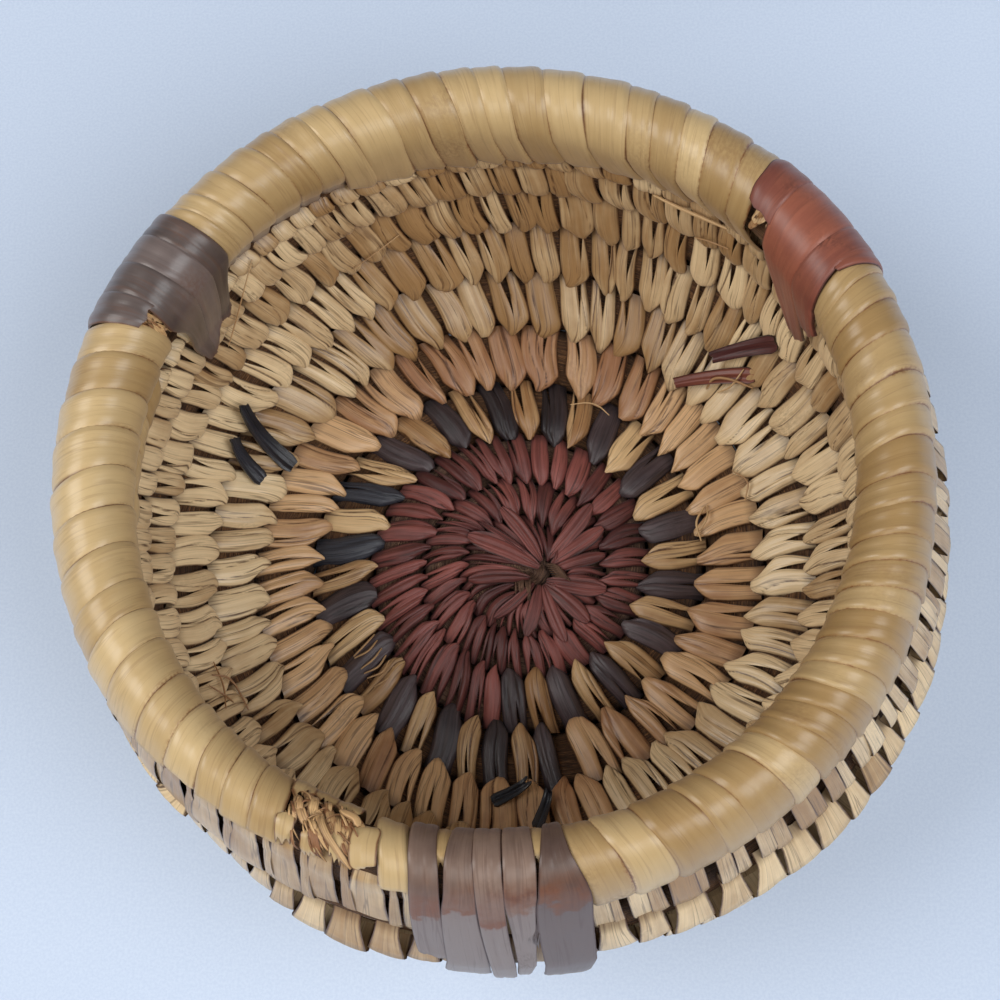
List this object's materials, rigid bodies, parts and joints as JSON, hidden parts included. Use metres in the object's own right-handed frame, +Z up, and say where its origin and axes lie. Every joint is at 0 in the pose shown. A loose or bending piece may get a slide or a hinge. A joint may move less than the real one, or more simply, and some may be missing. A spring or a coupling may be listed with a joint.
{
  "type": "coiled basket bowl",
  "caption": "Open coiled bowl basket with a thick wrapped rim, a red centre, a ring of dark stitches and coloured accent bands on the rim.",
  "frame": {"origin": "centre of the basket's outline at the level of its flat underside", "axes": "+Z up out of the open mouth; -Y towards the long grey band on the rim"},
  "size_m": [0.1776, 0.181, 0.0813],
  "materials": {
    "red_leaf": "satin",
    "tan_leaf": "satin",
    "buff_leaf": "satin",
    "dark_leaf": "satin",
    "grass_bundle": "matte",
    "rim_leaf": "satin",
    "brick_leaf": "satin",
    "grey_leaf": "satin"
  },
  "bodies": {
    "root": {"centre_knot": "red_leaf", "red_round_1": "red_leaf", "red_round_2": "red_leaf", "red_round_3": "red_leaf", "ringed_round": "tan_leaf", "dark_stitch_01": "dark_leaf", "dark_stitch_02": "dark_leaf", "dark_stitch_03": "dark_leaf", "dark_stitch_04": "dark_leaf", "dark_stitch_05": "dark_leaf", "dark_stitch_06": "dark_leaf", "dark_stitch_07": "dark_leaf", "dark_stitch_08": "dark_leaf", "dark_stitch_09": "dark_leaf", "dark_stitch_10": "dark_leaf", "dark_stitch_11": "dark_leaf", "dark_stitch_12": "dark_leaf", "dark_stitch_13": "dark_leaf", "dark_stitch_14": "dark_leaf", "dark_stitch_15": "dark_leaf", "dark_stitch_16": "dark_leaf", "dark_stitch_17": "dark_leaf", "dark_stitch_18": "dark_leaf", "dark_stitch_19": "dark_leaf", "dark_stitch_20": "dark_leaf", "pale_round_1": "tan_leaf", "pale_round_2": "buff_leaf", "pale_round_3": "buff_leaf", "pale_round_4": "buff_leaf", "pale_round_5": "buff_leaf", "tapered_round": "buff_leaf", "rim_bundle": "grass_bundle", "rim_wrap_back": "rim_leaf", "rim_wrap_left": "rim_leaf", "rim_wrap_front": "rim_leaf", "rim_wrap_right": "rim_leaf", "torn_strip_1": "rim_leaf", "torn_strip_2": "rim_leaf", "red_strip_1": "brick_leaf", "red_strip_2": "brick_leaf", "red_strip_3": "brick_leaf", "red_strip_4": "brick_leaf", "grey_strip_1": "grey_leaf", "grey_strip_2": "grey_leaf", "grey_strip_3": "grey_leaf", "grey_strip_4": "grey_leaf", "front_strip_1": "grey_leaf", "front_strip_2": "grey_leaf", "front_strip_3": "grey_leaf", "front_strip_4": "grey_leaf", "front_strip_5": "grey_leaf", "black_end_1": "dark_leaf", "black_end_2": "dark_leaf", "black_end_3": "dark_leaf", "black_end_4": "dark_leaf", "red_end_1": "brick_leaf", "red_end_2": "brick_leaf"}
  },
  "joints": []
}
